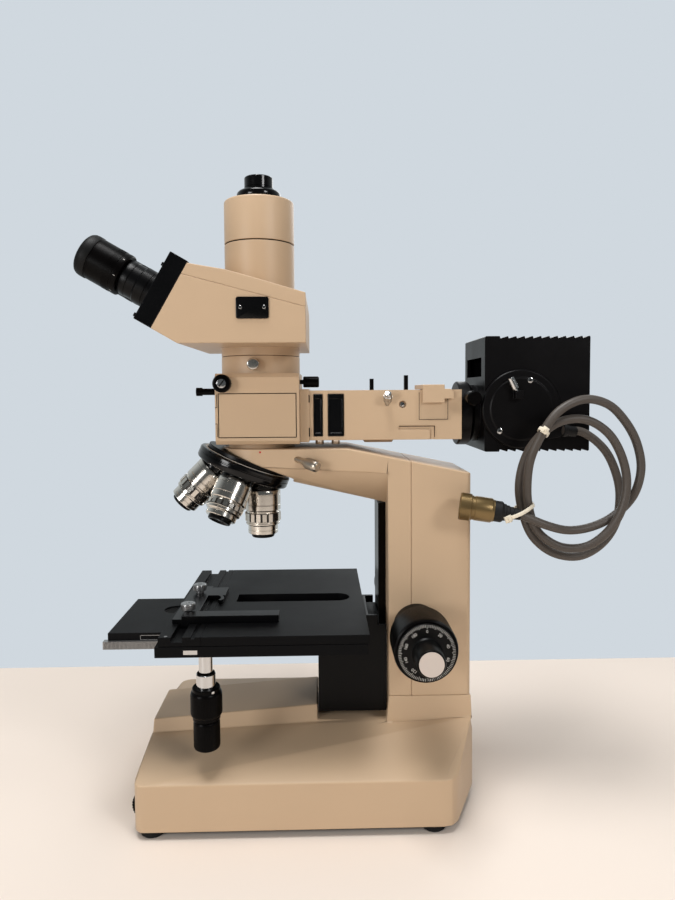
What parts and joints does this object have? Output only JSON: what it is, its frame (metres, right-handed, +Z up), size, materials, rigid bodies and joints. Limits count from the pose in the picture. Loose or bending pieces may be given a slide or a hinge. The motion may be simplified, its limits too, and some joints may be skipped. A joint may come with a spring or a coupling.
{
  "type": "metallurgical microscope",
  "caption": "Upright reflected light microscope with a trinocular head, a turning nosepiece, a geared mechanical stage, coaxial focusing and a finned lamphouse on a horizontal light tube.",
  "frame": {"origin": "on the table under the middle of the instrument, at the bottom centre of its box without the lamp cable", "axes": "+Z up, +X from the eyepieces to the lamphouse, +Y away from the side with the stage knobs"},
  "size_m": [0.4323, 0.229, 0.4909],
  "materials": {
    "beige_paint": "satin",
    "black_paint": "semi-gloss",
    "stage_black": "matte",
    "black_plastic": "satin",
    "white_plastic": "satin",
    "chrome": "polished",
    "nickel": "satin",
    "rubber": "matte",
    "glass": "polished",
    "cable_sheath": "matte",
    "tie_plastic": "matte",
    "plug_metal": "satin"
  },
  "bodies": {
    "stand": {"base_casting": "beige_paint", "base_plate": "black_paint", "rubber_feet": "rubber", "arm_casting": "beige_paint", "column_cover": "beige_paint", "guide_rail": "black_paint", "nosepiece_mount": "black_paint", "illuminator_box": "beige_paint", "box_cover": "beige_paint", "illuminator_optics": "glass", "light_bar": "beige_paint", "lamphouse": "black_paint", "socket_cover": "black_paint", "lamp_bulb": "glass", "lamp_cable": "cable_sheath", "cable_ties": "tie_plastic", "plug_connector": "plug_metal"},
    "brightness_wheel": {"brightness_wheel": "black_plastic"},
    "coarse_carriage": {"coarse_carriage": "nickel"},
    "fine_block": {"focus_block": "black_paint", "stage_base": "stage_black"},
    "coarse_knobs": {"coarse_knobs": "black_plastic"},
    "fine_knobs": {"fine_knobs": "black_plastic", "knob_caps": "white_plastic"},
    "cross_stage": {"stage_top": "stage_black", "holder_rail": "stage_black", "stage_rack": "nickel"},
    "y_knob": {"y_knob": "black_plastic"},
    "x_knob": {"x_knob": "black_plastic"},
    "specimen_holder": {"specimen_holder": "black_paint"},
    "thumbscrew_near": {"thumbscrew_near": "chrome"},
    "thumbscrew_far": {"thumbscrew_far": "chrome"},
    "nosepiece": {"nosepiece_turret": "black_paint", "objective_in_use": "nickel", "objective_front": "nickel", "objective_near": "nickel", "objective_far": "nickel"},
    "nosepiece_clamp": {"nosepiece_clamp": "nickel"},
    "aperture_rod": {"aperture_rod": "black_paint"},
    "analyser_knob": {"analyser_knob": "black_plastic"},
    "rear_pull_knob": {"rear_pull_knob": "black_plastic"},
    "head_clamp_screw": {"head_clamp_screw": "chrome"},
    "field_lever": {"field_lever": "black_paint"},
    "aperture_lever": {"aperture_lever": "black_paint"},
    "analyser_slider": {"analyser_slider": "black_paint"},
    "polariser_slider": {"polariser_slider": "black_paint"},
    "filter_cap": {"filter_cap": "beige_paint"},
    "bar_centring_screw": {"bar_centring_screw": "chrome"},
    "lamp_clamp_knob": {"lamp_clamp_knob": "black_plastic"},
    "lamp_centring_screw": {"lamp_centring_screw": "chrome"},
    "head": {"head_body": "beige_paint", "head_cover": "beige_paint", "head_front_plate": "black_paint", "photo_tube": "beige_paint", "photo_port": "black_paint", "prism_block": "glass"},
    "eye_right": {"eye_tube_right": "black_paint", "eyepiece_right": "black_plastic"},
    "eye_left": {"eye_tube_left": "black_paint"},
    "eyepiece_left": {"eyepiece_left": "black_plastic"}
  },
  "joints": [
    {"name": "brightness_turn", "type": "hinge", "parent": "stand", "child": "brightness_wheel", "pos_m": [-0.1391, -0.0775, 0.021], "axis": [0, 1, 0], "range_deg": [-135, 135]},
    {"name": "coarse_slide", "type": "slide", "parent": "stand", "child": "coarse_carriage", "axis": [0, 0, 1], "range_m": [-0.004, 0.04]},
    {"name": "coarse_turn", "type": "hinge", "parent": "stand", "child": "coarse_knobs", "pos_m": [0.0614, 0, 0.135], "axis": [0, 1, 0], "range_deg": [-75, 725]},
    {"name": "fine_turn", "type": "hinge", "parent": "stand", "child": "fine_knobs", "pos_m": [0.0614, 0, 0.135], "axis": [0, 1, 0], "range_deg": [-1800, 1800]},
    {"name": "fine_slide", "type": "slide", "parent": "coarse_carriage", "child": "fine_block", "axis": [0, 0, 1], "range_m": [-0.001, 0.001]},
    {"name": "cross_slide", "type": "slide", "parent": "fine_block", "child": "cross_stage", "axis": [1, 0, 0], "range_m": [-0.04, 0.01]},
    {"name": "y_knob_turn", "type": "hinge", "parent": "fine_block", "child": "y_knob", "pos_m": [-0.0956, -0.0826, 0.075], "axis": [0, 0, 1], "range_deg": [-160, 640]},
    {"name": "x_knob_turn", "type": "hinge", "parent": "fine_block", "child": "x_knob", "pos_m": [-0.0956, -0.0826, 0.1], "axis": [0, 0, 1], "range_deg": [-415, 800]},
    {"name": "holder_travel", "type": "slide", "parent": "cross_stage", "child": "specimen_holder", "axis": [0, 1, 0], "range_m": [-0.026, 0.05]},
    {"name": "thumbscrew_near_turn", "type": "hinge", "parent": "specimen_holder", "child": "thumbscrew_near", "pos_m": [-0.1146, -0.046, 0.155], "axis": [0, 0, 1], "range_deg": [-180, 180]},
    {"name": "thumbscrew_far_turn", "type": "hinge", "parent": "specimen_holder", "child": "thumbscrew_far", "pos_m": [-0.1146, 0.005, 0.155], "axis": [0, 0, 1], "range_deg": [-180, 180]},
    {"name": "nosepiece_turn", "type": "hinge", "parent": "stand", "child": "nosepiece", "pos_m": [-0.0606, 0, 0.2946], "axis": [0.3827, 0, 0.9239], "continuous": true},
    {"name": "nosepiece_clamp_turn", "type": "hinge", "parent": "stand", "child": "nosepiece_clamp", "pos_m": [-0.0386, -0.0255, 0.269], "axis": [0.7329, -0.6439, -0.2198], "range_deg": [-90, 90]},
    {"name": "aperture_rod_pull", "type": "slide", "parent": "stand", "child": "aperture_rod", "axis": [-1, 0, 0], "range_m": [0, 0.012]},
    {"name": "analyser_turn", "type": "hinge", "parent": "stand", "child": "analyser_knob", "pos_m": [-0.0867, -0.042, 0.3256], "axis": [0, 1, 0], "range_deg": [-45, 45]},
    {"name": "rear_pull", "type": "slide", "parent": "stand", "child": "rear_pull_knob", "axis": [1, 0, 0], "range_m": [0, 0.012]},
    {"name": "head_clamp_turn", "type": "hinge", "parent": "stand", "child": "head_clamp_screw", "pos_m": [-0.0636, -0.034, 0.3406], "axis": [0, 1, 0], "range_deg": [-180, 180]},
    {"name": "aperture_lever_turn", "type": "hinge", "parent": "stand", "child": "aperture_lever", "pos_m": [0.0299, 0, 0.3005], "axis": [1, 0, 0], "range_deg": [-20, 20]},
    {"name": "field_lever_turn", "type": "hinge", "parent": "stand", "child": "field_lever", "pos_m": [0.0582, 0, 0.3005], "axis": [1, 0, 0], "range_deg": [-20, 20]},
    {"name": "analyser_slide", "type": "slide", "parent": "stand", "child": "analyser_slider", "axis": [0, -1, 0], "range_m": [0, 0.02]},
    {"name": "polariser_slide", "type": "slide", "parent": "stand", "child": "polariser_slider", "axis": [0, -1, 0], "range_m": [0, 0.02]},
    {"name": "filter_lift", "type": "slide", "parent": "stand", "child": "filter_cap", "axis": [0, 0, 1], "range_m": [0, 0.03]},
    {"name": "bar_centring_turn", "type": "hinge", "parent": "stand", "child": "bar_centring_screw", "pos_m": [0.0401, -0.028, 0.3095], "axis": [0, -0.766, 0.6428], "range_deg": [-180, 180]},
    {"name": "lamp_clamp_turn", "type": "hinge", "parent": "stand", "child": "lamp_clamp_knob", "pos_m": [0.1059, -0.03, 0.313], "axis": [0, 1, 0], "range_deg": [-180, 180]},
    {"name": "lamp_centring_turn", "type": "hinge", "parent": "stand", "child": "lamp_centring_screw", "pos_m": [0.1394, -0.0426, 0.3155], "axis": [-0.4384, 0, 0.8988], "range_deg": [-180, 180]},
    {"name": "head_turn", "type": "hinge", "parent": "stand", "child": "head", "pos_m": [-0.0606, 0, 0.35], "axis": [0, 0, 1], "continuous": true},
    {"name": "eye_right_slide", "type": "slide", "parent": "head", "child": "eye_right", "axis": [0, 1, 0], "range_m": [-0.0055, 0.0055]},
    {"name": "eye_left_slide", "type": "slide", "parent": "head", "child": "eye_left", "axis": [0, 1, 0], "range_m": [-0.006, 0.006]},
    {"name": "diopter_turn", "type": "hinge", "parent": "eye_left", "child": "eyepiece_left", "pos_m": [-0.1331, 0.032, 0.3923], "axis": [-0.866, 0, 0.5], "range_deg": [-120, 120]}
  ],
  "couplings": [
    {"joint": "coarse_turn", "follows": "coarse_slide", "rad_per_m": 314.16},
    {"joint": "fine_turn", "follows": "fine_slide", "rad_per_m": 31400},
    {"joint": "y_knob_turn", "follows": "cross_slide", "rad_per_m": -277.78},
    {"joint": "x_knob_turn", "follows": "holder_travel", "rad_per_m": 277.78},
    {"joint": "eye_left_slide", "follows": "eye_right_slide", "ratio": -1}
  ]
}
